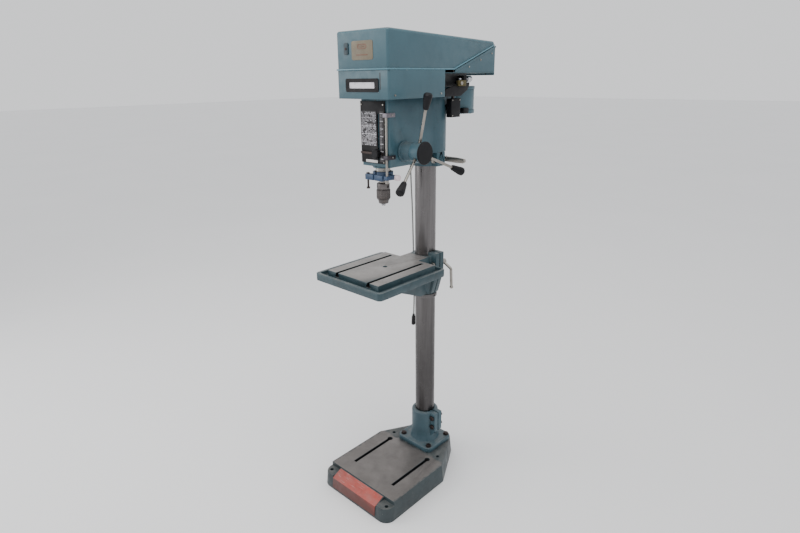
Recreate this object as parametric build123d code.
from build123d import *
import os
from math import cos, sin, tan, pi, radians

# Floor-standing pillar drill. Millimetres. +Z is up, -Y is the operator's side and +X the
# operator's right. The origin is on the floor, on the column's axis.

# ---------------------------------------------------------------- driving dimensions
FIT = 0.05            # radial clearance of a running or sliding fit
SEAT = 0.3            # gap between pieces that rest beside each other on different bodies
PRESS = 0.01          # radial clearance of a pressed or bolted fit inside one body

COLUMN_R = 41.0
COLUMN_WALL = 7.0
COLUMN_TOP = 1538.0

THROAT = 230.0        # column axis to spindle axis
SPINDLE_Y = -THROAT
QUILL_R = 26.0

BASE_HALF_X = 188.0
BASE_FRONT_Y = -441.0
BASE_WAIST_Y = -100.0
BASE_REAR_Y = 98.0
BASE_H = 77.0
BASE_DRAFT = 5.5
BASE_WALL = 14.0
BASE_SKIN = 26.0
BASE_DECK_FRONT_Y = -390.0
BASE_PAD_Z = 60.0
BASE_PAD_X = 126.0
BASE_RIB_HALF = 6.0             # half the thickness of the ribs under the deck
BASE_RIB_Y = (-300.0, -180.0)
BASE_BOSS_R = 22.0              # metal left around each bolt hole
BASE_FRONT_CORNER_R = 42.0
BASE_REAR_CORNER_R = 30.0
BASE_SLOT_X = 109.0
BASE_SLOT_FRONT_Y = -325.0
BASE_SLOT_REAR_Y = -112.0
RED_TOP = (BASE_DECK_FRONT_Y, 73.0)     # (y, z) of the front plate's upper edge
RED_BEND_Z = 53.0                       # where the plate bends down over the front face
RED_PLATE_T = 2.0
RED_PLATE_FOOT_Z = 10.0
FLOOR_HOLE_R = 7.0
FLOOR_HOLE_FRONT = (160.0, -411.0)
FLOOR_HOLE_REAR = (128.0, -66.0)

SOCKET_R = COLUMN_R + 16
SOCKET_TOP = 238.0
SOCKET_BOLT_Z = (SOCKET_TOP - 24, SOCKET_TOP - 66)
SOCKET_LUG_H = 88.0
FLANGE_HALF_X = 91.0
FLANGE_FRONT_Y = -82.0
FLANGE_REAR_Y = 76.0
FLANGE_T = 20.0
FLANGE_BOLT = (72.0, 60.0)

LUG_REACH = COLUMN_R + 35       # how far a clamp's split lug reaches from the column axis
LUG_HALF = 23.0
LUG_SLIT = 5.0
LUG_BOLT_X = COLUMN_R + 22
LUG_BOLT_R = 6.0
LEVER_HUB_R = 10.5
NUT_INNER_R = 9.5     # centre to flat of the clamp bolts' heads and nuts
BOLT_HEAD_H = 8.0

TABLE_TOP = 947.0
TABLE_HALF_X = 169.0
TABLE_FRONT_Y = -428.0
TABLE_REAR_Y = -79.0
TABLE_RIM_TOP = 936.0
TABLE_UNDER = 909.0
TABLE_RIM_W = 13.0
TROUGH_Z = 924.0
BLOCK_HALF_X = 131.0
BLOCK_FRONT_Y = -396.0
BLOCK_REAR_Y = -96.0
TABLE_SLOT_X = 81.0
TABLE_SLOT_REAR_Y = -112.0
TABLE_HOLE_R = 8.0
HUB_R = COLUMN_R + 15
HUB_TOP = TABLE_TOP
TABLE_LUG_TOP = TABLE_TOP + 15
TABLE_BOLT_Z = 915.0
NECK_HALF_X = 48.0
WEB_HALF_X = 34.0
WEB_T = 10.0
HUB_BOTTOM = 784.0
COLLAR_R = COLUMN_R + 7
COLLAR_H = 16.0

SLOT_W = 12.0         # T-slot throat
SLOT_T_W = 20.0       # T-slot foot
SLOT_THROAT_H = 9.0
SLOT_FOOT_H = 8.0

HEAD_HALF_X = 67.0
HEAD_FRONT_Y = SPINDLE_Y - QUILL_R - 8
HEAD_BOTTOM = 1322.0
HEAD_TOP = 1548.0
BOSS_R = COLUMN_R + 35
BOSS_BOTTOM = 1350.0
HEAD_COLLAR_R = COLUMN_R + 16
HEAD_COLLAR_BOTTOM = 1300.0
HEAD_BOLT_Z = 1322.0
PANEL_T = 5.0                   # front panel
PLATE_T = 1.0                   # the chart and the scale on it
STOP_SLOT_X = 20.0
STOP_Z = 1368.0                 # depth stop at rest
STOP_BAR_T = 4.0
ROD_X = 60.0                    # depth rod
ROD_Y = HEAD_FRONT_Y - 7.0
ROD_R = 4.0

QUILL_BOTTOM = 1272.0
QUILL_TOP = 1500.0
QUILL_STROKE = 100.0
SPINDLE_R = 10.0
SPINDLE_SHOULDER_R = 14.0
SPINDLE_TOP = 1706.0
SPLINE_R = 9.0
KEY_W = 5.0
BEARING_R = QUILL_R - 5
BEARING_H = 12.0
UPPER_HOUSING_R = QUILL_R + 8
SLEEVE_R = 17.5
SLEEVE_BEARING_R = 31.0
SLEEVE_BEARING_H = 14.0

GEAR_MODULE = 2.0
PINION_TEETH = 16
PINION_HALF = 13.0
PINION_PHASE = -90.0            # turns a tooth of the pinion towards a gap of the rack
PRESSURE_ANGLE = 20.0
RACK_PITCH_LINE = QUILL_R - 1.5 # quill axis to the rack's pitch line
PINION_R = GEAR_MODULE * PINION_TEETH / 2
FEED_Y = SPINDLE_Y + RACK_PITCH_LINE + PINION_R
FEED_Z = 1372.0
FEED_SHAFT_R = 12.0
FEED_BUSH_END_X = 113.0
FEED_BUSH_R = 32.0
FEED_HUB_R = 34.0
FEED_HUB_END_X = 156.0
FEED_CAP_R = 39.0
FEED_CAP_T = 7.0
LEVER_START_R = 22.0
LEVER_R = 5.0
LEVER_FOOT_R = 6.0
GRIP_L = 52.0
GRIP_BORE_L = 32.0
LEVER_END_R = 202.0
LEVER_ROOT_X = 129.0            # where the levers' axes meet the feed axis
LEVER_LEAN = 17.0               # degrees that each lever leans outwards
LEVER_PHASE = 5.0               # degrees that the first lever leans towards the operator at rest
SPRING_HOUSING_R = 41.0
SPRING_HOUSING_L = 34.0
SPRING_R = 36.6
SPRING_T = 1.2

MOTOR_FOOT_Y = BOSS_R + 12.5    # front of the motor's plate
MOTOR_Y = MOTOR_FOOT_Y + 85.5

PAN_HALF_X = 121.5
PAN_FRONT_Y = HEAD_FRONT_Y - 53
PAN_REAR_Y = -34.0
SEAM_Z = 1637.0
DECK_Z = 1626.0                 # underside of the rear half of the belt housing
LID_HALF_X = 119.5
LID_FRONT_TOP = 1760.0
LID_REAR_TOP = 1738.0
LID_REAR_Y = MOTOR_Y + 88
LID_BREAK_Y = 15.0              # where the lid's lower edge turns up towards its hinge
LID_EDGE_REAR_Z = 1724.0
SHEET = 2.0
SKIRT_X = 84.0                  # the sheet that closes the space under the rear deck, on the right
SKIRT_REAR_Y = 132.0
SKIRT_BOTTOM = 1580.0
HINGE_Y = LID_REAR_Y + 3
HINGE_Z = 1731.0
HINGE_PIN_R = 2.5
HINGE_KNUCKLE_R = 5.0
HINGE_FIXED = ((-80.0, -66.0), (-50.0, -36.0), (36.0, 50.0), (66.0, 80.0))
HINGE_MOVING = ((-65.5, -50.5), (50.5, 65.5))

MOTOR_R = 74.0
MOTOR_BOTTOM = 1480.0
MOTOR_TOP = 1580.0
MOTOR_SHAFT_R = 9.5
MOTOR_TRAVEL = 12.0
MOTOR_PLATE_T = 9.0
MOTOR_SLOT_R = 32.0             # opening for the motor's shaft in the deck
SLIDE_BARS = ((-46.0, 1530.0), (46.0, 1530.0))      # (x, z) of the bars the motor slides on
SLIDE_BAR_R = 8.0
SLIDE_BLOCK_REAR = BOSS_R

PULLEY_STEPS = 5
STEP_SMALL_R = 40.0
STEP_RISE = 10.0
STEP_H = 16.0
PULLEY_BOTTOM = 1644.0
BELT_STEP = 2                   # the belt lies on the middle step, counted from 0
GROOVE_DEPTH = 9.0
GROOVE_HALF_ANGLE = 19.0
GROOVE_W = 12.0

CHUCK_TOP = 1262.0
SPINDLE_NOSE_Z = CHUCK_TOP - 26
SPINDLE_NOSE_R = 7.2            # the nose taper's small end
SPINDLE_TAPER_L = 26.0          # length over which the taper gains 1 mm of radius
CHUCK_CAP_R = 23.0
CHUCK_CAP_H = 22.0
CHUCK_KEY_R = 3.2
SLEEVE_NOTCHES = 24
CHUCK_R = 25.0
CHUCK_BODY_R = 20.2
CHUCK_NOSE_R = 17.0
CHUCK_BOTTOM = 1188.0
JAW_R = 3.2
JAW_TIP_R = 6.2                 # chuck axis to a jaw's axis, at the nose face
JAW_TILT = 13.0

GUARD_PIN_X = -37.0
GUARD_PIN_Y = SPINDLE_Y - QUILL_R - 12
GUARD_PIN_R = 3.5
GUARD_SCREW_R = 3.0
GUARD_ARM_END_X = ROD_X + 12
GUARD_SCREW_Y = SPINDLE_Y - 11
GUARD_SCREW_Z = QUILL_BOTTOM + 16
GUARD_KNOB_R = 10.0
GUARD_KNOB_L = 17.0

TENSION_ARM_X = 110.0
TENSION_ARM_HALF = 5.0
TENSION_X = 96.0                # axis of the belt tension lock's rod
TENSION_Z = 1606.0
TENSION_R = 5.0
TENSION_COLLAR_Y = 101.0
TENSION_KNOB_Y = 117.0
TENSION_KNOB_L = 23.0

BOX_X = (-BOSS_R - 36, -HEAD_HALF_X - 6)
BOX_Y = (-34.0, 44.0)
BOX_Z = (1352.0, 1486.0)
BOX_WALL = 3.0
COVER_T = 4.0
GLAND_XY = (-BOSS_R - 11, 12.0)
GLAND_R = 8.0
BUTTON_Y = 5.0
BUTTONS = ((1448.0, 10.0), (1404.0, 10.0))          # (z, radius) of start and stop
BUTTON_FLANGE = 3.0

CORD_R = 3.0
CORD_ROUTE = [(-87, 12, 1326), (-87.5, 12, 1290), (-87, 13, 1235), (-85.5, 15, 1178), (-84, 17, 1122),
              (-83, 18, 1064), (-82.5, 19, 1006), (-81.5, 19.5, 948), (-81.5, 20.5, 890), (-80.5, 21, 832),
              (-79.5, 21, 774), (-79, 20, 717), (-79.5, 19, 684), (-80.5, 18.5, 652)]


# ---------------------------------------------------------------- small helpers
def block(x0, x1, y0, y1, z0, z1):
    return Pos((x0 + x1) / 2, (y0 + y1) / 2, (z0 + z1) / 2) * Box(x1 - x0, y1 - y0, z1 - z0)


def rounded_block(x0, x1, y0, y1, z0, z1, r):
    face = Pos((x0 + x1) / 2, (y0 + y1) / 2, z0) * RectangleRounded(x1 - x0, y1 - y0, r)
    return extrude(face, amount=z1 - z0)


def rod(r, z0, z1, x=0.0, y=0.0):
    return Pos(x, y, (z0 + z1) / 2) * Cylinder(r, z1 - z0)


def tube(r_in, r_out, z0, z1, x=0.0, y=0.0):
    return rod(r_out, z0, z1, x, y) - rod(r_in, z0 - 1, z1 + 1, x, y)


def rod_x(r, x0, x1, y, z):
    return Pos((x0 + x1) / 2, y, z) * Rot(0, 90, 0) * Cylinder(r, x1 - x0)


def rod_y(r, y0, y1, x, z):
    return Pos(x, (y0 + y1) / 2, z) * Rot(90, 0, 0) * Cylinder(r, y1 - y0)


def side_prism(points, half_x):
    """A prism across the machine from an outline of (y, z) points."""
    face = Plane.YZ * make_face(Polyline(*points, close=True))
    return extrude(face, amount=half_x, both=True)


def turned(points, x=0.0, y=0.0):
    """A solid of revolution about the vertical line at (x, y) from (r, z) points."""
    face = Plane.XZ * make_face(Polyline(*points, close=True))
    return Pos(x, y, 0) * revolve(face, Axis.Z)


def turned_x(points, y, z):
    """A solid of revolution about the line along X at (y, z) from (r, x) points."""
    face = Plane.XZ * make_face(Polyline(*points, close=True))
    return Pos(0, y, z) * Rot(0, 90, 0) * revolve(face, Axis.Z)


def hex_bolt(r, across, head_h, length):
    """A bolt that stands on z = 0, head up, shank down."""
    head = extrude(RegularPolygon(across / 2, 6, major_radius=False), amount=head_h)
    return head + rod(r, -length, 0)


def t_slot(x, y0, y1, top):
    throat = block(x - SLOT_W / 2, x + SLOT_W / 2, y0, y1, top - SLOT_THROAT_H - 0.5, top + 1)
    foot = block(x - SLOT_T_W / 2, x + SLOT_T_W / 2, y0, y1,
                 top - SLOT_THROAT_H - SLOT_FOOT_H, top - SLOT_THROAT_H)
    return throat + foot


def lug_bolt(z, head_y, nut_y):
    """A clamp bolt along Y through both halves of a split lug, with its hexagon head in front."""
    head = extrude(RegularPolygon(NUT_INNER_R, 6, major_radius=False), amount=BOLT_HEAD_H)
    head = Pos(LUG_BOLT_X, head_y, z) * Rot(90, 0, 0) * head
    return head + rod_y(LUG_BOLT_R, head_y, nut_y, LUG_BOLT_X, z)


def lug_cut(z_bottom, z_top, bolt_heights):
    cut = block(COLUMN_R - 6, LUG_REACH + 1, -LUG_SLIT / 2, LUG_SLIT / 2, z_bottom - 1, z_top + 1)
    for z in bolt_heights:
        cut += rod_y(LUG_BOLT_R + PRESS, -LUG_HALF - 30, LUG_HALF + 30, LUG_BOLT_X, z)
    return cut


# ---------------------------------------------------------------- base
def base_outline():
    rear = [(108.0, 45.0), (78.0, BASE_REAR_Y)]
    right = [(BASE_HALF_X, BASE_FRONT_Y), (BASE_HALF_X, BASE_WAIST_Y)] + rear
    left = [(-x, y) for x, y in reversed(right)]
    return make_face(Polyline(*right, *left, close=True))


def base_edge_y(z):
    """The front face's y at height z, behind its draft."""
    return BASE_FRONT_Y + z * tan(radians(BASE_DRAFT))


def base_casting():
    outline = base_outline()
    outline = fillet(outline.vertices().group_by(Axis.Y)[0], BASE_FRONT_CORNER_R)
    outline = fillet(outline.vertices().group_by(Axis.Y)[-1], BASE_REAR_CORNER_R)
    body = extrude(outline, amount=BASE_H, taper=BASE_DRAFT)
    for side in (-1, 1):
        x0, x1 = sorted((side * BASE_PAD_X, side * (BASE_HALF_X + 10)))
        body -= block(x0, x1, BASE_FRONT_Y - 10, BASE_DECK_FRONT_Y, BASE_PAD_Z, BASE_H + 5)
    slope = [RED_TOP, (base_edge_y(RED_BEND_Z), RED_BEND_Z), (BASE_FRONT_Y - 20, RED_BEND_Z),
             (BASE_FRONT_Y - 20, BASE_H + 5), (BASE_DECK_FRONT_Y, BASE_H + 5)]
    body -= side_prism(slope, BASE_PAD_X)

    inner = offset(base_outline(), amount=-BASE_WALL)
    pocket = extrude(Pos(0, 0, -1) * inner, amount=BASE_H - BASE_SKIN + 1)
    pocket = pocket & block(-300, 300, -404, 300, -2, BASE_H)
    pocket -= block(-BASE_RIB_HALF, BASE_RIB_HALF, -500, 100, -2, BASE_H)
    for y in BASE_RIB_Y:
        pocket -= block(-300, 300, y - BASE_RIB_HALF, y + BASE_RIB_HALF, -2, BASE_H)
    pocket -= rod(COLUMN_R + 24, -2, BASE_H)
    for x, y in (FLOOR_HOLE_FRONT, FLOOR_HOLE_REAR, FLANGE_BOLT, (FLANGE_BOLT[0], -FLANGE_BOLT[1])):
        for side in (-1, 1):
            pocket -= rod(BASE_BOSS_R, -2, BASE_H, side * x, y)
    body -= pocket

    for side in (-1, 1):
        x = side * BASE_SLOT_X
        body -= t_slot(x, BASE_SLOT_FRONT_Y, BASE_SLOT_REAR_Y, BASE_H)
        body -= rod(SLOT_T_W / 2 + 1, BASE_H - SLOT_THROAT_H - SLOT_FOOT_H, BASE_H + 1, x, BASE_SLOT_REAR_Y)
        for hx, hy in (FLOOR_HOLE_FRONT, FLOOR_HOLE_REAR):
            body -= rod(FLOOR_HOLE_R, -5, BASE_H + 5, side * hx, hy)
        for hy in (-FLANGE_BOLT[1], FLANGE_BOLT[1]):
            body -= rod(LUG_BOLT_R + PRESS, BASE_H - 26, BASE_H + 1, side * FLANGE_BOLT[0], hy)
    return body


def base_front_plate():
    t = RED_PLATE_T
    foot_z = RED_PLATE_FOOT_Z
    bend_y = base_edge_y(RED_BEND_Z)
    top_y = RED_TOP[0] - 4
    slope = (RED_TOP[1] - RED_BEND_Z) / (RED_TOP[0] - bend_y)
    outline = [(top_y, RED_TOP[1] - 4 * slope), (bend_y, RED_BEND_Z), (base_edge_y(foot_z), foot_z),
               (base_edge_y(foot_z) - t, foot_z), (bend_y - t, RED_BEND_Z + t / 2), (top_y, RED_TOP[1] + 0.7)]
    return side_prism(outline, BASE_PAD_X - 3)


# ---------------------------------------------------------------- column and its socket
def column_socket():
    z0 = BASE_H
    body = rounded_block(-FLANGE_HALF_X, FLANGE_HALF_X, FLANGE_FRONT_Y, FLANGE_REAR_Y, z0, z0 + FLANGE_T, 22)
    body += turned([(0, z0 + FLANGE_T), (SOCKET_R + 6, z0 + FLANGE_T), (SOCKET_R, z0 + FLANGE_T + 26),
                    (SOCKET_R, SOCKET_TOP - 7), (SOCKET_R - 7, SOCKET_TOP), (0, SOCKET_TOP)])
    lug_foot = SOCKET_TOP - SOCKET_LUG_H - 20
    body += side_lug([(0, SOCKET_TOP), (LUG_REACH, SOCKET_TOP), (LUG_REACH, SOCKET_TOP - SOCKET_LUG_H),
                      (SOCKET_R, lug_foot), (0, lug_foot)])
    body -= rod(COLUMN_R + PRESS, z0 - 1, SOCKET_TOP + 1)
    body -= lug_cut(lug_foot - 4, SOCKET_TOP, SOCKET_BOLT_Z)
    for side in (-1, 1):
        for y in (-FLANGE_BOLT[1], FLANGE_BOLT[1]):
            body -= rod(LUG_BOLT_R + PRESS, z0 - 1, z0 + FLANGE_T + 1, side * FLANGE_BOLT[0], y)
    return body


def side_lug(points):
    """A lug across the split, from an outline of (x, z) points."""
    face = Plane.XZ * make_face(Polyline(*points, close=True))
    return extrude(face, amount=LUG_HALF, both=True)


def socket_bolts():
    bolts = []
    for x in (-FLANGE_BOLT[0], FLANGE_BOLT[0]):
        for y in (-FLANGE_BOLT[1], FLANGE_BOLT[1]):
            bolt = hex_bolt(LUG_BOLT_R, 2 * NUT_INNER_R, BOLT_HEAD_H, FLANGE_T + 22)
            bolts.append(Pos(x, y, BASE_H + FLANGE_T) * bolt)
    for z in SOCKET_BOLT_Z:
        nut = extrude(RegularPolygon(NUT_INNER_R, 6, major_radius=False), amount=9)
        nut = Pos(LUG_BOLT_X, LUG_HALF + 9, z) * Rot(90, 0, 0) * nut
        bolts.append(lug_bolt(z, -LUG_HALF, LUG_HALF + 12) + nut)
    return Compound(children=bolts)


def column():
    return tube(COLUMN_R - COLUMN_WALL, COLUMN_R, BASE_H, COLUMN_TOP)


# ---------------------------------------------------------------- table
def table_casting():
    trough_x = TABLE_HALF_X - TABLE_RIM_W
    body = rounded_block(-TABLE_HALF_X, TABLE_HALF_X, TABLE_FRONT_Y, TABLE_REAR_Y,
                         TABLE_UNDER, TABLE_RIM_TOP, 16)
    body -= rounded_block(-trough_x, trough_x, TABLE_FRONT_Y + TABLE_RIM_W, TABLE_REAR_Y - 5,
                          TROUGH_Z, TABLE_RIM_TOP + 1, 10)
    body += block(-BLOCK_HALF_X, BLOCK_HALF_X, BLOCK_FRONT_Y, BLOCK_REAR_Y, TABLE_UNDER, TABLE_TOP)
    for side in (-1, 1):
        x0, x1 = sorted((side * 52, side * (TABLE_HALF_X - 12)))
        body -= block(x0, x1, TABLE_FRONT_Y + 12, TABLE_REAR_Y - 12, TABLE_UNDER - 1, TABLE_UNDER + 6)
        x0, x1 = sorted((side * 52, side * (TABLE_SLOT_X + 34)))
        body -= block(x0, x1, BLOCK_FRONT_Y + 12, BLOCK_REAR_Y - 12, TABLE_UNDER, TROUGH_Z - 2)
        body -= t_slot(side * TABLE_SLOT_X, BLOCK_FRONT_Y - 1, TABLE_SLOT_REAR_Y, TABLE_TOP)
    web = [(TABLE_FRONT_Y + 60, TABLE_UNDER + 2), (-30, TABLE_UNDER + 2), (-30, HUB_BOTTOM + 2),
           (-HUB_R - 10, HUB_BOTTOM + 2)]
    body += side_prism(web, WEB_HALF_X)
    body -= side_prism([(TABLE_FRONT_Y, TABLE_UNDER), (-HUB_R, TABLE_UNDER), (-HUB_R, HUB_BOTTOM - 5),
                        (TABLE_FRONT_Y, HUB_BOTTOM - 5)], WEB_HALF_X - WEB_T)
    body += block(-NECK_HALF_X, NECK_HALF_X, TABLE_REAR_Y - 20, 0, TABLE_UNDER, TABLE_TOP)
    body += turned([(0, HUB_BOTTOM), (HUB_R - 10, HUB_BOTTOM), (HUB_R, HUB_BOTTOM + 60), (HUB_R, HUB_TOP),
                    (0, HUB_TOP)])
    body += side_lug([(0, TABLE_LUG_TOP), (LUG_REACH, TABLE_LUG_TOP), (LUG_REACH, HUB_BOTTOM + 96),
                      (50, HUB_BOTTOM + 6), (0, HUB_BOTTOM + 6)])
    body -= rod(COLUMN_R + FIT, HUB_BOTTOM - 1, TABLE_LUG_TOP + 1)
    body -= lug_cut(HUB_BOTTOM, TABLE_LUG_TOP, (TABLE_BOLT_Z,))
    body -= rod(TABLE_HOLE_R, TABLE_UNDER - 120, TABLE_TOP + 1, 0, SPINDLE_Y)
    return body


def table_clamp_bolt():
    return lug_bolt(TABLE_BOLT_Z, -LUG_HALF, LUG_HALF + 26)


def table_clamp_lever():
    y0 = LUG_HALF + SEAT
    z = TABLE_BOLT_Z
    hub = rod_y(LEVER_HUB_R, y0, y0 + 22, LUG_BOLT_X, z)
    mid_y = y0 + 13
    path = FilletPolyline((LUG_BOLT_X + 6, mid_y, z - 3), (LUG_BOLT_X + 40, mid_y, z - 22),
                          (LUG_BOLT_X + 44, mid_y, z - 96), radius=9)
    handle = sweep(Plane(origin=path @ 0, z_dir=path % 0) * Circle(5.5), path)
    ball = Pos(LUG_BOLT_X + 44, mid_y, z - 98) * Sphere(7.5)
    lever = hub + handle + ball
    return lever - rod_y(LUG_BOLT_R + FIT, y0 - 1, y0 + 40, LUG_BOLT_X, z)


def table_collar():
    """The safety collar that the table's hub turns on."""
    z1 = HUB_BOTTOM - SEAT
    body = tube(COLUMN_R + FIT, COLLAR_R, z1 - COLLAR_H, z1)
    return body - rod_x(3 + PRESS, 0, COLLAR_R + 5, 0, z1 - COLLAR_H / 2)


# ---------------------------------------------------------------- head casting
def head_casting():
    body = block(-HEAD_HALF_X, HEAD_HALF_X, HEAD_FRONT_Y, 0, HEAD_BOTTOM, HEAD_TOP)
    vertical = body.edges().filter_by(Axis.Z).group_by(Axis.Y)[0]
    body = fillet(vertical, 5)
    body -= block(-HEAD_HALF_X - 1, HEAD_HALF_X + 1, -58, 1, HEAD_BOTTOM - 1, BOSS_BOTTOM)
    body += rod(BOSS_R, BOSS_BOTTOM, HEAD_TOP)
    body += rod(HEAD_COLLAR_R, HEAD_COLLAR_BOTTOM, BOSS_BOTTOM + 1)
    body += block(-50, 50, -60, 0, HEAD_BOTTOM, BOSS_BOTTOM + 1)
    body += side_lug([(0, BOSS_BOTTOM + 1), (LUG_REACH, BOSS_BOTTOM + 1), (LUG_REACH, HEAD_COLLAR_BOTTOM),
                      (0, HEAD_COLLAR_BOTTOM)])
    body += rod(QUILL_R + 9, HEAD_BOTTOM - 6, HEAD_BOTTOM, 0, SPINDLE_Y)

    body -= block(-56, 56, SPINDLE_Y + QUILL_R + 36, -BOSS_R + 12, 1398, HEAD_TOP + 1)
    body -= block(-56, 56, SPINDLE_Y + QUILL_R + 36, -BOSS_R + 12, HEAD_BOTTOM - 1, 1358)
    body += block(-60, 60, 40, SLIDE_BLOCK_REAR, 1508, HEAD_TOP)
    for x, z in SLIDE_BARS:
        body -= rod_y(SLIDE_BAR_R + FIT, 21, SLIDE_BLOCK_REAR + 1, x, z)
    body -= rod(COLUMN_R + PRESS, HEAD_COLLAR_BOTTOM - 1, HEAD_TOP + 1)
    body -= lug_cut(HEAD_COLLAR_BOTTOM, BOSS_BOTTOM - 1, (HEAD_BOLT_Z,))
    body -= rod(QUILL_R + FIT, HEAD_BOTTOM - 10, QUILL_TOP + 6, 0, SPINDLE_Y)
    body -= rod(UPPER_HOUSING_R + PRESS, QUILL_TOP + 5, HEAD_TOP + 1, 0, SPINDLE_Y)
    body -= rod_x(FEED_SHAFT_R + FIT, -HEAD_HALF_X - 5, HEAD_HALF_X + 5, FEED_Y, FEED_Z)
    body -= rod_x(PINION_R + GEAR_MODULE + 1, -PINION_HALF - 0.5, HEAD_HALF_X + 1, FEED_Y, FEED_Z)
    body -= block(-(STOP_SLOT_X - 15), STOP_SLOT_X - 15, HEAD_FRONT_Y - 1, HEAD_FRONT_Y + 4, 1342, 1500)
    return body


def feed_bush():
    """The flanged bush in the head's right side that carries the feed shaft."""
    outer = PINION_R + GEAR_MODULE + 1 - PRESS
    body = rod_x(outer, PINION_HALF + 3, HEAD_HALF_X, FEED_Y, FEED_Z)
    body += rod_x(FEED_BUSH_R + 4, HEAD_HALF_X, HEAD_HALF_X + 6, FEED_Y, FEED_Z)
    body += rod_x(FEED_BUSH_R, HEAD_HALF_X, FEED_BUSH_END_X, FEED_Y, FEED_Z)
    return body - rod_x(FEED_SHAFT_R + FIT, 0, FEED_BUSH_END_X + 1, FEED_Y, FEED_Z)


def feed_cap():
    """The dark disc on the end of the lever hub."""
    x0, x1 = FEED_HUB_END_X, FEED_HUB_END_X + FEED_CAP_T
    profile = [(0, x0), (FEED_CAP_R - 1.5, x0), (FEED_CAP_R, x0 + 1.5), (FEED_CAP_R, x1 - 2.5),
               (FEED_CAP_R - 2.5, x1), (0, x1)]
    return turned_x(profile, FEED_Y, FEED_Z)


def spring_housing():
    x0, x1 = -HEAD_HALF_X - SPRING_HOUSING_L, -HEAD_HALF_X
    body = rod_x(SPRING_HOUSING_R, x0, x1, FEED_Y, FEED_Z)
    body -= rod_x(SPRING_HOUSING_R - 4, x0 + 4, x1 + 1, FEED_Y, FEED_Z)
    return body - rod_x(FEED_SHAFT_R + FIT, x0 - 1, x0 + 5, FEED_Y, FEED_Z)


def return_spring():
    """The flat spiral spring, as a few concentric turns joined at one side."""
    x0, x1 = -HEAD_HALF_X - 26, -HEAD_HALF_X - 4
    body = None
    for r in (SPRING_R, 32.0, 27.5, 23.0, 18.5):
        turn = rod_x(r, x0, x1, FEED_Y, FEED_Z) - rod_x(r - SPRING_T, x0 - 1, x1 + 1, FEED_Y, FEED_Z)
        body = turn if body is None else body + turn
    return body + block(x0, x1, FEED_Y - 0.8, FEED_Y + 0.8, FEED_Z + 18, FEED_Z + 36)


def upper_housing():
    """The bearing cup that carries the spindle's drive sleeve."""
    y = SPINDLE_Y
    z0 = HEAD_TOP - 30
    body = rod(UPPER_HOUSING_R, z0, HEAD_TOP, 0, y) + rod(46, HEAD_TOP, HEAD_TOP + 8, 0, y)
    body += rod(39, HEAD_TOP + 8, HEAD_TOP + 76, 0, y)
    body -= rod(SLEEVE_BEARING_R + PRESS, HEAD_TOP + 6, HEAD_TOP + 80, 0, y)
    return body - rod(24, z0 - 1, HEAD_TOP + 10, 0, y)


def ring_bearing(r_in, r_out, z0, h, x, y):
    """A ball bearing as one closed ring with its two grooves."""
    mid = (r_in + r_out) / 2
    profile = [(r_in, z0), (mid - 2, z0), (mid - 1, z0 + 1), (mid + 1, z0 + 1), (mid + 2, z0), (r_out, z0),
               (r_out, z0 + h), (mid + 2, z0 + h), (mid + 1, z0 + h - 1), (mid - 1, z0 + h - 1),
               (mid - 2, z0 + h), (r_in, z0 + h)]
    return turned(profile, x, y)


def sleeve_bearings():
    rings = []
    for z in (HEAD_TOP + 6, HEAD_TOP + 62):
        rings.append(ring_bearing(SLEEVE_R + FIT, SLEEVE_BEARING_R, z, SLEEVE_BEARING_H, 0, SPINDLE_Y))
    return Compound(children=rings)


def drive_sleeve():
    top = PULLEY_BOTTOM + PULLEY_STEPS * STEP_H + 10
    body = tube(SPLINE_R + FIT, SLEEVE_R, HEAD_TOP + 5, top, 0, SPINDLE_Y)
    key_y = SPINDLE_Y - SPLINE_R
    body += block(-KEY_W / 2, KEY_W / 2, key_y - 2, key_y + 2, HEAD_TOP + 5, HEAD_TOP + 70)
    return body


# ---------------------------------------------------------------- quill, spindle and chuck
def quill():
    y = SPINDLE_Y
    body = rod(QUILL_R, QUILL_BOTTOM, QUILL_TOP, 0, y)
    body -= rod(BEARING_R - 4, QUILL_BOTTOM - 1, QUILL_TOP + 1, 0, y)
    body -= rod(BEARING_R + PRESS, QUILL_BOTTOM - 1, QUILL_BOTTOM + BEARING_H, 0, y)
    body -= rod(BEARING_R + PRESS, QUILL_TOP - BEARING_H, QUILL_TOP + 1, 0, y)
    pitch = pi * GEAR_MODULE
    root = RACK_PITCH_LINE - 1.25 * GEAR_MODULE
    tip = QUILL_R + 1
    gap_pitch = pitch / 2 + 0.5
    slope = tan(radians(PRESSURE_ANGLE))
    first = FEED_Z - 2 * pitch
    count = int((QUILL_STROKE + 4.5 * pitch) / pitch)
    for i in range(count):
        z = first + i * pitch
        low = gap_pitch / 2 - (RACK_PITCH_LINE - root) * slope
        high = gap_pitch / 2 + (tip - RACK_PITCH_LINE) * slope
        gap = [(y + root, z - low), (y + tip, z - high), (y + tip, z + high), (y + root, z + low)]
        body -= side_prism(gap, QUILL_R)
    return body


def quill_bearings():
    rings = [ring_bearing(SPINDLE_R + FIT, BEARING_R, z, BEARING_H, 0, SPINDLE_Y)
             for z in (QUILL_BOTTOM, QUILL_TOP - BEARING_H)]
    return Compound(children=rings)


def taper_r(z):
    """The radius of the spindle's nose taper at height z."""
    return SPINDLE_NOSE_R + (z - SPINDLE_NOSE_Z) / SPINDLE_TAPER_L


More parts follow.
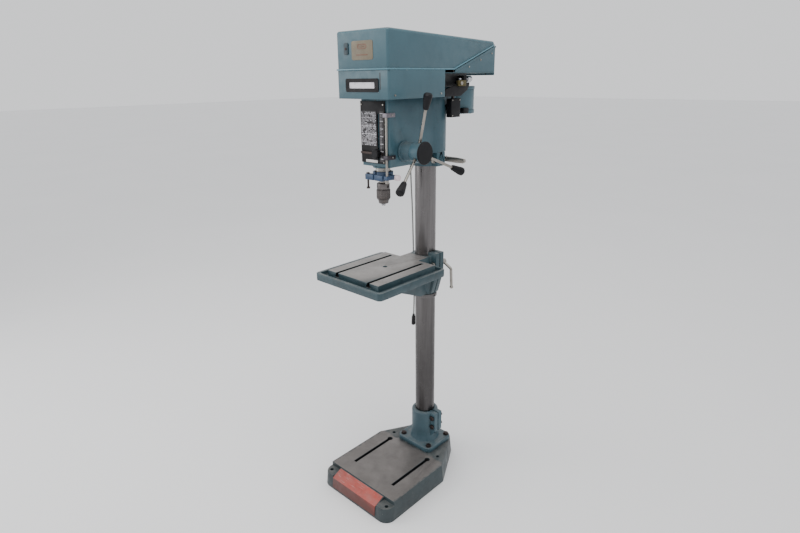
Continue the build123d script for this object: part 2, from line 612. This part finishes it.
def spindle():
    y = SPINDLE_Y
    z0, z1, z2 = SPINDLE_NOSE_Z, CHUCK_TOP + 1, QUILL_BOTTOM - 1
    profile = [(0, z0), (taper_r(z0), z0), (taper_r(z1), z1), (SPINDLE_SHOULDER_R, z1),
               (SPINDLE_SHOULDER_R, z2), (SPINDLE_R, z2), (SPINDLE_R, QUILL_TOP + 4),
               (SPLINE_R, QUILL_TOP + 6), (SPLINE_R, SPINDLE_TOP - 1), (SPLINE_R - 1, SPINDLE_TOP),
               (0, SPINDLE_TOP)]
    body = turned(profile, 0, y)
    key_y = y - SPLINE_R
    key_x = KEY_W / 2 + FIT
    keyway = block(-key_x, key_x, key_y - 3, key_y + 2.2, QUILL_TOP + 8, SPINDLE_TOP + 1)
    return body - keyway


def chuck_body():
    y = SPINDLE_Y
    waist = CHUCK_TOP - CHUCK_CAP_H
    profile = [(0, CHUCK_TOP), (CHUCK_CAP_R - 3, CHUCK_TOP), (CHUCK_CAP_R, CHUCK_TOP - 3),
               (CHUCK_CAP_R, waist), (CHUCK_BODY_R, waist), (CHUCK_BODY_R, CHUCK_BOTTOM + 16),
               (CHUCK_NOSE_R, CHUCK_BOTTOM), (0, CHUCK_BOTTOM)]
    body = turned(profile, 0, y)
    z0, z1 = SPINDLE_NOSE_Z - 1, CHUCK_TOP + 1
    body -= turned([(0, z0), (taper_r(z0) + PRESS, z0), (taper_r(z1) + PRESS, z1), (0, z1)], 0, y)
    body -= rod(6.5, CHUCK_BOTTOM - 1, CHUCK_BOTTOM + 34, 0, y)
    for i in range(3):
        turn = Pos(0, y, 0) * Rot(0, 0, 120 * i)
        body -= turn * rod_x(CHUCK_KEY_R, 12, 30, 0, CHUCK_TOP - 14)
        body -= turn * jaw_rod(JAW_R + FIT, -20, 80)
    return body


def jaw_rod(r, start, end):
    """A rod along the first jaw's axis, from start to end along it, measured from the nose face."""
    lean = Pos(JAW_TIP_R, 0, CHUCK_BOTTOM) * Rot(0, JAW_TILT, 0)
    return lean * Pos(0, 0, (start + end) / 2) * Cylinder(r, end - start)


def chuck_jaw(i):
    return Pos(0, SPINDLE_Y, 0) * Rot(0, 0, 120 * i) * jaw_rod(JAW_R, -9, 20)


def chuck_sleeve():
    z1 = CHUCK_TOP - CHUCK_CAP_H - SEAT
    z0 = CHUCK_BOTTOM + 14
    profile = [(CHUCK_BODY_R + FIT, z0), (CHUCK_R - 3, z0), (CHUCK_R, z0 + 6), (CHUCK_R, z1 - 4),
               (CHUCK_R - 2.5, z1), (CHUCK_BODY_R + FIT, z1)]
    body = turned(profile, 0, SPINDLE_Y)
    notch = block(CHUCK_R - 3.5, CHUCK_R + 2, -0.9, 0.9, z1 - 4, z1 + 1)
    for i in range(SLEEVE_NOTCHES):
        body -= Pos(0, SPINDLE_Y, 0) * Rot(0, 0, 360 / SLEEVE_NOTCHES * i) * notch
    return body


def guard_clamp():
    """The chuck guard's clamp on the quill's lower end, with its side arm and front bar."""
    y = SPINDLE_Y
    z0, z1 = QUILL_BOTTOM + 3, QUILL_BOTTOM + 31
    body = rod(QUILL_R + 10, z0, z1, 0, y)
    body += block(-43, 43, y - QUILL_R - 22, y - QUILL_R + 2, z0, z1 - 8)
    body += block(20, GUARD_ARM_END_X, y - 24, y + 2, z0 + 6, z1 - 8)
    body += block(ROD_X - 9, ROD_X + 9, ROD_Y - 9, y, z0 + 6, z1 - 8)
    body -= rod(QUILL_R + PRESS, z0 - 1, z1 + 1, 0, y)
    body -= block(-2, 2, y - QUILL_R - 30, y - QUILL_R + 5, z0 - 1, z1 + 1)
    body -= rod(ROD_R + PRESS, z0, z1, ROD_X, ROD_Y)
    body -= rod_x(GUARD_SCREW_R + PRESS, GUARD_ARM_END_X - 12, GUARD_ARM_END_X + 1, GUARD_SCREW_Y,
                  GUARD_SCREW_Z)
    body -= rod(GUARD_PIN_R + PRESS, z0 - 1, z1, GUARD_PIN_X, GUARD_PIN_Y)
    return body


def guard_knob():
    """The knob that locks the guard's arm, on the end of the clamp."""
    x = GUARD_ARM_END_X + SEAT
    body = rod_x(GUARD_KNOB_R, x, x + GUARD_KNOB_L, GUARD_SCREW_Y, GUARD_SCREW_Z)
    return body + rod_x(GUARD_SCREW_R - FIT, x - 10, x, GUARD_SCREW_Y, GUARD_SCREW_Z)


def guard_pin():
    x, y = GUARD_PIN_X, GUARD_PIN_Y
    top = QUILL_BOTTOM + 24
    body = rod(GUARD_PIN_R, top - 50, top, x, y)
    return body + rod(6, top - 54, top - 48, x, y) + rod(6, top - 1, top + 3, x, y)


def depth_rod():
    z0 = QUILL_BOTTOM + 6
    return rod(ROD_R, z0, 1502, ROD_X, ROD_Y) + rod(6.5, z0 - 8, z0 + 3, ROD_X, ROD_Y)


def rod_guides():
    guides = []
    for z in (1350, 1489):
        eye = block(ROD_X - 9, HEAD_HALF_X + 4, ROD_Y - 8, HEAD_FRONT_Y, z, z + 14)
        eye += block(HEAD_HALF_X, HEAD_HALF_X + 4, ROD_Y - 8, HEAD_FRONT_Y + 26, z, z + 14)
        guides.append(eye - rod(ROD_R + FIT, z - 1, z + 15, ROD_X, ROD_Y))
    return Compound(children=guides)


# ---------------------------------------------------------------- feed shaft and levers
def gear_outline(teeth, pitch_r, addendum, dedendum, thin):
    """A spur gear's outline with straight flanks, thinned for backlash."""
    points = []
    half_pitch = pi / teeth / 2 - thin / pitch_r / 2
    lean = tan(radians(PRESSURE_ANGLE))
    for i in range(teeth):
        a = 2 * pi * i / teeth
        for r, side in ((pitch_r - dedendum, -1), (pitch_r + addendum, -1), (pitch_r + addendum, 1),
                        (pitch_r - dedendum, 1)):
            half = half_pitch - (r - pitch_r) * lean * 1.15 / pitch_r
            points.append((r * cos(a + side * half), r * sin(a + side * half)))
    return make_face(Polyline(*points, close=True))


def feed_shaft():
    x0, x1 = -HEAD_HALF_X - 36, FEED_HUB_END_X
    body = rod_x(FEED_SHAFT_R, x0, x1, FEED_Y, FEED_Z)
    gear = gear_outline(PINION_TEETH, PINION_R, 0.9 * GEAR_MODULE, 1.1 * GEAR_MODULE, 0.5)
    gear = extrude(gear, amount=PINION_HALF, both=True)
    return body + Pos(0, FEED_Y, FEED_Z) * Rot(0, 90, 0) * Rot(0, 0, PINION_PHASE) * gear


def feed_hub():
    x0, x1 = FEED_BUSH_END_X + SEAT, FEED_HUB_END_X
    profile = [(FEED_SHAFT_R + PRESS, x0), (FEED_HUB_R - 2, x0), (FEED_HUB_R, x0 + 2), (FEED_HUB_R, x1),
               (FEED_SHAFT_R + PRESS, x1)]
    body = turned_x(profile, FEED_Y, FEED_Z)
    for i in range(3):
        body -= lever_frame(i) * rod(LEVER_FOOT_R + PRESS, LEVER_START_R - 1, FEED_HUB_R + 10)
    return body


def lever_frame(i):
    """The place of lever i: +Z runs out along the lever from the feed axis."""
    return Pos(LEVER_ROOT_X, FEED_Y, FEED_Z) * Rot(120 * i + LEVER_PHASE, 0, 0) * Rot(0, LEVER_LEAN, 0)


def feed_levers():
    levers = []
    for i in range(3):
        lever = rod(LEVER_FOOT_R, LEVER_START_R, FEED_HUB_R + 10)
        lever += rod(LEVER_R, FEED_HUB_R + 10, LEVER_END_R - GRIP_L + GRIP_BORE_L)
        levers.append(lever_frame(i) * lever)
    return Compound(children=levers)


def feed_grips():
    r0 = LEVER_END_R - GRIP_L
    bore = LEVER_R + PRESS
    profile = [(bore, r0), (8.5, r0), (10, r0 + 4), (15, LEVER_END_R - 12), (14.5, LEVER_END_R - 4),
               (11, LEVER_END_R), (0, LEVER_END_R), (0, r0 + GRIP_BORE_L), (bore, r0 + GRIP_BORE_L)]
    return Compound(children=[lever_frame(i) * turned(profile) for i in range(3)])


# ---------------------------------------------------------------- front panel and depth stop
def label_plates():
    """The speed chart and depth scale on the panel, and the name plate on the belt housing."""
    y = HEAD_FRONT_Y - PANEL_T
    chart = block(-HEAD_HALF_X + 5, STOP_SLOT_X - 7, y - PLATE_T, y, 1392, 1508)
    scale = block(STOP_SLOT_X + 7, HEAD_HALF_X - 19, y - PLATE_T, y, 1340, 1508)
    name = block(-76, 74, PAN_FRONT_Y - 1.5, PAN_FRONT_Y, 1570, 1610)
    return Compound(children=[chart, scale, name])


def front_panel():
    y1 = HEAD_FRONT_Y
    body = block(-HEAD_HALF_X + 2, HEAD_HALF_X - 16, y1 - PANEL_T, y1, 1334, 1540)
    return body - block(STOP_SLOT_X - 4, STOP_SLOT_X + 4, y1 - PANEL_T - 1, y1 + 1, 1346, 1500)


def depth_stop():
    """The pointer bar that slides in the panel's slot."""
    y = HEAD_FRONT_Y - PANEL_T - PLATE_T - SEAT
    body = block(-64, 42, y - STOP_BAR_T, y, STOP_Z - 4, STOP_Z + 4)
    body += block(STOP_SLOT_X - 3.7, STOP_SLOT_X + 3.7, y - 1, HEAD_FRONT_Y - SEAT, STOP_Z - 10, STOP_Z + 10)
    return body - rod_y(2.5 + FIT, y - 6, HEAD_FRONT_Y, STOP_SLOT_X, STOP_Z)


def stop_knob():
    y = HEAD_FRONT_Y - PANEL_T - PLATE_T - SEAT - STOP_BAR_T - SEAT
    body = rod_y(16, y - 16, y, STOP_SLOT_X, STOP_Z)
    body = chamfer(body.edges().group_by(Axis.Y)[0], 3)
    for i in range(10):
        body -= Pos(STOP_SLOT_X, 0, STOP_Z) * Rot(0, 36 * i, 0) * rod_y(2.2, y - 17, y - 3, 16.8, 0)
    return body + rod_y(2.5, y, HEAD_FRONT_Y - 2, STOP_SLOT_X, STOP_Z)


# ---------------------------------------------------------------- belt housing and lid
def belt_housing():
    """The lower pan: a deep tray in front and a raised deck behind the column."""
    inner_x = PAN_HALF_X - SHEET
    body = rounded_block(-PAN_HALF_X, PAN_HALF_X, PAN_FRONT_Y, PAN_REAR_Y, HEAD_TOP, SEAM_Z, 8)
    body -= rounded_block(-inner_x, inner_x, PAN_FRONT_Y + SHEET, PAN_REAR_Y - SHEET,
                          HEAD_TOP + SHEET, SEAM_Z + 1, 6)
    deck = block(-PAN_HALF_X, PAN_HALF_X, PAN_REAR_Y - SHEET, LID_REAR_Y - 4, DECK_Z, DECK_Z + SHEET)
    body += deck
    body += block(SKIRT_X - SHEET, SKIRT_X, PAN_REAR_Y - SHEET, SKIRT_REAR_Y, SKIRT_BOTTOM, DECK_Z + 1)
    body -= rod(46 + PRESS, HEAD_TOP - 1, HEAD_TOP + 5, 0, SPINDLE_Y)
    body -= rod(COLUMN_R - 8, HEAD_TOP - 1, HEAD_TOP + 5)
    front_y = MOTOR_Y - MOTOR_TRAVEL - 2
    slot = block(-MOTOR_SLOT_R, MOTOR_SLOT_R, front_y, MOTOR_Y, DECK_Z - 1, DECK_Z + 5)
    for y in (front_y, MOTOR_Y):
        slot += rod(MOTOR_SLOT_R, DECK_Z - 1, DECK_Z + 5, 0, y)
    return body - slot


def lid_line(y):
    """The height of the lid's sloping lower edge at y."""
    share = (y - LID_BREAK_Y) / (LID_REAR_Y - LID_BREAK_Y)
    return SEAM_Z + share * (LID_EDGE_REAR_Z - SEAM_Z)


def rear_housing():
    """The fixed sides and back of the belt housing, below the lid's sloping edge."""
    gap = 1.5
    y0 = LID_BREAK_Y + 2
    outer = [(y0, DECK_Z + SHEET), (LID_REAR_Y, DECK_Z + SHEET), (LID_REAR_Y, lid_line(LID_REAR_Y) - gap),
             (y0, lid_line(y0) - gap)]
    body = side_prism(outer, LID_HALF_X)
    y1 = LID_REAR_Y - SHEET
    inner = [(y0 - 1, DECK_Z), (y1, DECK_Z), (y1, LID_REAR_TOP), (y0 - 1, LID_REAR_TOP)]
    body -= side_prism(inner, LID_HALF_X - SHEET)
    for side in (-1, 1):
        lip = [(y0, lid_line(y0) - gap - 7), (LID_REAR_Y, lid_line(LID_REAR_Y) - gap - 7),
               (LID_REAR_Y, lid_line(LID_REAR_Y) - gap), (y0, lid_line(y0) - gap)]
        body += Pos(side * (LID_HALF_X + 1.5), 0, 0) * side_prism(lip, 1.5)
    body += block(-LID_HALF_X, LID_HALF_X, LID_REAR_Y - 14, LID_REAR_Y, DECK_Z - 8, DECK_Z + SHEET)
    body -= block(-LID_HALF_X - 1, LID_HALF_X + 1, LID_REAR_Y - 15, LID_REAR_Y - 4,
                  DECK_Z - 9, DECK_Z + SHEET)
    for x0, x1 in HINGE_FIXED:
        body += block(x0, x1, LID_REAR_Y - SHEET, LID_REAR_Y + 1, HINGE_Z - 26, HINGE_Z)
        body += rod_x(HINGE_KNUCKLE_R, x0, x1, HINGE_Y, HINGE_Z)
    return body - rod_x(HINGE_PIN_R + PRESS, -100, 100, HINGE_Y, HINGE_Z)


def lid_profile(inset):
    return [(PAN_FRONT_Y + inset, SEAM_Z + 0.5), (PAN_FRONT_Y + inset, LID_FRONT_TOP - inset),
            (LID_REAR_Y - 4 - inset, LID_REAR_TOP - inset), (LID_REAR_Y - 4 - inset, LID_EDGE_REAR_Z + 1),
            (LID_BREAK_Y, SEAM_Z + 0.5)]


def lid():
    shell = side_prism(lid_profile(0), LID_HALF_X)
    top_edges = [e for e in shell.edges() if e.center().Z > (LID_REAR_TOP + LID_EDGE_REAR_Z) / 2]
    corner_edges = shell.edges().filter_by(Axis.Z).group_by(Axis.Y)[0]
    shell = fillet(ShapeList(top_edges) + corner_edges, 9)
    inner = side_prism(lid_profile(SHEET), LID_HALF_X - SHEET)
    front_y, rear_y = PAN_FRONT_Y + SHEET, LID_REAR_Y - 4 - SHEET
    below = side_prism([(front_y, SEAM_Z - 5), (front_y, SEAM_Z + 1), (LID_BREAK_Y, SEAM_Z + 1),
                        (rear_y, LID_EDGE_REAR_Z + 2), (rear_y, SEAM_Z - 5)], LID_HALF_X - SHEET)
    top_inner = [e for e in inner.edges() if e.center().Z > (LID_REAR_TOP + LID_EDGE_REAR_Z) / 2]
    inner_corners = inner.edges().filter_by(Axis.Z).group_by(Axis.Y)[0]
    inner = fillet(ShapeList(top_inner) + inner_corners, 7)
    body = shell - inner - below
    for x0, x1 in HINGE_MOVING:
        body += block(x0, x1, LID_REAR_Y - 6, HINGE_Y, HINGE_Z, HINGE_Z + 2.5)
        body += rod_x(HINGE_KNUCKLE_R, x0, x1, HINGE_Y, HINGE_Z)
    return body - rod_x(HINGE_PIN_R + FIT, -100, 100, HINGE_Y, HINGE_Z)


def hinge_pins():
    pins = [rod_x(HINGE_PIN_R, -82, -34, HINGE_Y, HINGE_Z), rod_x(HINGE_PIN_R, 34, 82, HINGE_Y, HINGE_Z)]
    return Compound(children=pins)


# ---------------------------------------------------------------- pulleys and belt
def step_radius(i):
    return STEP_SMALL_R + STEP_RISE * i


def cone_pulley(radii, bore_r, x, y):
    """A stepped V pulley; radii run from the bottom step to the top one."""
    shave = GROOVE_DEPTH * tan(radians(GROOVE_HALF_ANGLE))
    outline = [(bore_r, PULLEY_BOTTOM)]
    for i, r in enumerate(radii):
        z0 = PULLEY_BOTTOM + i * STEP_H
        mid = z0 + STEP_H / 2
        outline += [(r, z0), (r, mid - GROOVE_W / 2), (r - GROOVE_DEPTH, mid - GROOVE_W / 2 + shave),
                    (r - GROOVE_DEPTH, mid + GROOVE_W / 2 - shave), (r, mid + GROOVE_W / 2), (r, z0 + STEP_H)]
    outline.append((bore_r, PULLEY_BOTTOM + len(radii) * STEP_H))
    return turned(outline, x, y)


def spindle_pulley():
    radii = [step_radius(i) for i in reversed(range(PULLEY_STEPS))]
    return cone_pulley(radii, SLEEVE_R + PRESS, 0, SPINDLE_Y)


def motor_pulley():
    radii = [step_radius(i) for i in range(PULLEY_STEPS)]
    return cone_pulley(radii, MOTOR_SHAFT_R + PRESS, 0, MOTOR_Y)


def v_belt():
    r = step_radius(BELT_STEP)
    mid = PULLEY_BOTTOM + (BELT_STEP + 0.5) * STEP_H
    thick = GROOVE_DEPTH - 1.6
    clear = SEAT / cos(radians(GROOVE_HALF_ANGLE))
    shave = tan(radians(GROOVE_HALF_ANGLE))
    half_out = GROOVE_W / 2 - 0.3 * shave - clear
    half_in = half_out - thick * shave
    r_out = r - 0.3
    r_in = r_out - thick
    section = [(r_in, mid - half_in), (r_out, mid - half_out), (r_out, mid + half_out), (r_in, mid + half_in)]
    face = Plane.XZ * make_face(Polyline(*section, close=True))
    front = Pos(0, SPINDLE_Y, 0) * revolve(face, Axis.Z)
    rear = Pos(0, MOTOR_Y, 0) * revolve(face, Axis.Z)
    keep_front = front & block(-100, 100, SPINDLE_Y - 100, SPINDLE_Y, mid - 20, mid + 20)
    keep_rear = rear & block(-100, 100, MOTOR_Y, MOTOR_Y + 100, mid - 20, mid + 20)
    strand = extrude(Pos(0, SPINDLE_Y, 0) * face, amount=-(MOTOR_Y - SPINDLE_Y))
    return keep_front + keep_rear + strand + mirror(strand, Plane.YZ)


# ---------------------------------------------------------------- motor
def motor_body():
    body = rod(MOTOR_R, MOTOR_BOTTOM + 14, MOTOR_TOP - 12, 0, MOTOR_Y)
    body += block(-48, 48, MOTOR_FOOT_Y + MOTOR_PLATE_T, MOTOR_Y - 20, MOTOR_BOTTOM + 26, MOTOR_TOP - 24)
    return body - rod(MOTOR_SHAFT_R + 4, MOTOR_BOTTOM, MOTOR_TOP, 0, MOTOR_Y)


def motor_end_shield(z0, z1):
    body = rod(MOTOR_R + 2, z0, z1, 0, MOTOR_Y)
    return body - rod(MOTOR_SHAFT_R + FIT, z0 - 1, z1 + 1, 0, MOTOR_Y)


def motor_case():
    shields = [motor_end_shield(MOTOR_TOP - 12, MOTOR_TOP), motor_end_shield(MOTOR_BOTTOM, MOTOR_BOTTOM + 14)]
    return Compound(children=[motor_body()] + shields)


def motor_shaft():
    return rod(MOTOR_SHAFT_R, MOTOR_BOTTOM + 2, PULLEY_BOTTOM + PULLEY_STEPS * STEP_H + 4, 0, MOTOR_Y)


def motor_plate():
    """The plate on the back of the slide bars that carries the motor's foot."""
    body = block(-58, 58, MOTOR_FOOT_Y, MOTOR_FOOT_Y + MOTOR_PLATE_T, MOTOR_BOTTOM + 16, MOTOR_TOP - 8)
    for x, z in SLIDE_BARS:
        body += rod_y(SLIDE_BAR_R, 34, MOTOR_FOOT_Y + 1, x, z)
    return body


# ---------------------------------------------------------------- belt tension lock, boxes, cord
def tension_bracket():
    """The cast arm on the head's right that carries the belt tension lock."""
    arm = [(-28, HEAD_TOP), (60, HEAD_TOP), (100, 1568), (112, 1586), (112, 1594), (84, 1594), (40, 1588),
           (-28, 1570)]
    body = Pos(TENSION_ARM_X, 0, 0) * side_prism(arm, TENSION_ARM_HALF)
    body += block(50, TENSION_ARM_X + TENSION_ARM_HALF, -28, 40, HEAD_TOP, HEAD_TOP + 10)
    body += block(TENSION_X - 10, TENSION_ARM_X, 84, TENSION_COLLAR_Y - SEAT, TENSION_Z - 22, TENSION_Z + 12)
    body -= rod_y(TENSION_R + FIT, 83, TENSION_COLLAR_Y + 1, TENSION_X, TENSION_Z)
    return body - rod(BOSS_R - 10, HEAD_TOP - 1, HEAD_TOP + 11)


def tension_knob():
    body = rod_y(TENSION_R, 70, TENSION_KNOB_Y + 1, TENSION_X, TENSION_Z)
    body += rod_y(11, TENSION_KNOB_Y, TENSION_KNOB_Y + TENSION_KNOB_L, TENSION_X, TENSION_Z)
    return body + rod_y(8, TENSION_COLLAR_Y, TENSION_COLLAR_Y + 5, TENSION_X, TENSION_Z)


def junction_box():
    body = rounded_block(BOSS_R + 1, 102, 24, 78, 1474, 1540, 4)
    return body + block(BOSS_R - 12, BOSS_R + 2, 34, 60, 1496, 1520) - rod(BOSS_R + PRESS, 1470, 1545)


def switch_box():
    """The starter box on the head's left side."""
    x0, x1 = BOX_X
    y0, y1 = BOX_Y
    z0, z1 = BOX_Z
    body = rounded_block(x0, x1, y0, y1, z0, z1, 6)
    body -= block(x0 - 1, x1 - BOX_WALL, y0 + BOX_WALL, y1 - BOX_WALL, z0 + BOX_WALL, z1 - BOX_WALL)
    for y in (-22, 30):
        body += block(x1 - 1, x1 + 3, y - 6, y + 6, z0 + 40, z0 + 90)
    body -= rod(BOSS_R + PRESS, z0 - 1, z1 + 1)
    return body - rod(GLAND_R + PRESS, z0 - 1, z0 + 4, *GLAND_XY)


def switch_cover():
    x0 = BOX_X[0]
    body = block(x0 - COVER_T, x0, *BOX_Y, *BOX_Z)
    body = fillet(body.edges().filter_by(Axis.X), 5)
    for z, r in BUTTONS:
        body -= rod_x(r + FIT * 2, x0 - 5, x0 + 1, BUTTON_Y, z)
    return body


def start_button():
    x0 = BOX_X[0]
    z, r = BUTTONS[0]
    body = rod_x(r, x0 - 9, x0 + 2, BUTTON_Y, z)
    return body + rod_x(r + BUTTON_FLANGE, x0 + SEAT, x0 + 2, BUTTON_Y, z)


def stop_button():
    x0 = BOX_X[0]
    z, r = BUTTONS[1]
    body = rod_x(r, x0 - 13, x0 + 2, BUTTON_Y, z)
    body += rod_x(r + BUTTON_FLANGE, x0 + SEAT, x0 + 2, BUTTON_Y, z)
    return body + rod_x(17, x0 - 20, x0 - 12, BUTTON_Y, z)


def cord_gland():
    x, y = GLAND_XY
    z0 = BOX_Z[0]
    profile = [(0, z0 - 26), (4.6, z0 - 26), (6.5, z0 - 12), (10, z0 - 10), (10, z0 - 1), (GLAND_R, z0 - 1),
               (GLAND_R, z0 + 5), (0, z0 + 5)]
    return turned(profile, x, y)


def cord_path():
    points = [Vector(*p) for p in CORD_ROUTE]
    radii = []
    for a, b, c in zip(points, points[1:], points[2:]):
        turn = radians((b - a).get_angle(c - b))
        radii.append(0.45 * min((b - a).length, (c - b).length) / tan(turn / 2))
    print("cord radii (mm):", [round(r) for r in radii])
    return FilletPolyline(*points, radius=radii)


def cord():
    path = cord_path()
    solid = sweep(Plane(origin=path @ 0, z_dir=path % 0) * Circle(CORD_R), path)
    share = solid.volume / (pi * CORD_R ** 2 * path.length)
    print("cord length (mm):", round(path.length, 1), "volume over section times length:", round(share, 4))
    return solid


def cord_connector():
    end = Vector(*CORD_ROUTE[-1])
    before = Vector(*CORD_ROUTE[-2])
    frame = Plane(origin=end, z_dir=end - before)
    profile = [(0, 0), (4.5, 0), (6.5, 10), (8.5, 14), (8.5, 46), (7, 50), (0, 50)]
    face = Plane.XZ * make_face(Polyline(*profile, close=True))
    return frame * revolve(face, Axis.Z)


# ---------------------------------------------------------------- head clamp
def head_clamp_bolt():
    return lug_bolt(HEAD_BOLT_Z, -LUG_HALF, LUG_HALF + 24)


def head_clamp_lever():
    y0 = LUG_HALF + SEAT
    z = HEAD_BOLT_Z
    hub = rod_y(LEVER_HUB_R, y0, y0 + 18, LUG_BOLT_X, z)
    arm = [(0, -8), (60, -10), (94, -9), (101, -3), (98, 7), (60, 10), (0, 10)]
    face = Plane.XZ * make_face(Polyline(*arm, close=True))
    body = hub + Pos(LUG_BOLT_X, y0 + 9, z) * extrude(face, amount=6, both=True)
    return body - rod_y(LUG_BOLT_R + FIT, y0 - 1, y0 + 20, LUG_BOLT_X, z)


# ---------------------------------------------------------------- every node
NODES = {
    "base_casting": base_casting,
    "base_front_plate": base_front_plate,
    "column_socket": column_socket,
    "socket_bolts": socket_bolts,
    "column": column,
    "table_collar": table_collar,
    "table_casting": table_casting,
    "table_clamp_bolt": table_clamp_bolt,
    "table_clamp_lever": table_clamp_lever,
    "head_casting": head_casting,
    "head_clamp_bolt": head_clamp_bolt,
    "head_clamp_lever": head_clamp_lever,
    "feed_bush": feed_bush,
    "spring_housing": spring_housing,
    "return_spring": return_spring,
    "feed_shaft": feed_shaft,
    "feed_cap": feed_cap,
    "feed_hub": feed_hub,
    "feed_levers": feed_levers,
    "feed_grips": feed_grips,
    "quill": quill,
    "quill_bearings": quill_bearings,
    "spindle": spindle,
    "chuck_body": chuck_body,
    "chuck_sleeve": chuck_sleeve,
    "guard_clamp": guard_clamp,
    "guard_knob": guard_knob,
    "guard_pin": guard_pin,
    "depth_rod": depth_rod,
    "rod_guides": rod_guides,
    "front_panel": front_panel,
    "label_plates": label_plates,
    "depth_stop": depth_stop,
    "stop_knob": stop_knob,
    "upper_housing": upper_housing,
    "sleeve_bearings": sleeve_bearings,
    "drive_sleeve": drive_sleeve,
    "spindle_pulley": spindle_pulley,
    "v_belt": v_belt,
    "belt_housing": belt_housing,
    "rear_housing": rear_housing,
    "lid": lid,
    "lid_hinge_pins": hinge_pins,
    "motor_case": motor_case,
    "motor_shaft": motor_shaft,
    "motor_pulley": motor_pulley,
    "motor_plate": motor_plate,
    "tension_bracket": tension_bracket,
    "tension_knob": tension_knob,
    "junction_box": junction_box,
    "switch_box": switch_box,
    "switch_cover": switch_cover,
    "start_button": start_button,
    "stop_button": stop_button,
    "cord_gland": cord_gland,
    "cord": cord,
    "cord_connector": cord_connector,
}

os.makedirs("parts", exist_ok=True)
for name, build in NODES.items():
    export_step(build(), f"parts/{name}.step")
for i in range(3):
    export_step(chuck_jaw(i), f"parts/chuck_jaw_{i + 1}.step")
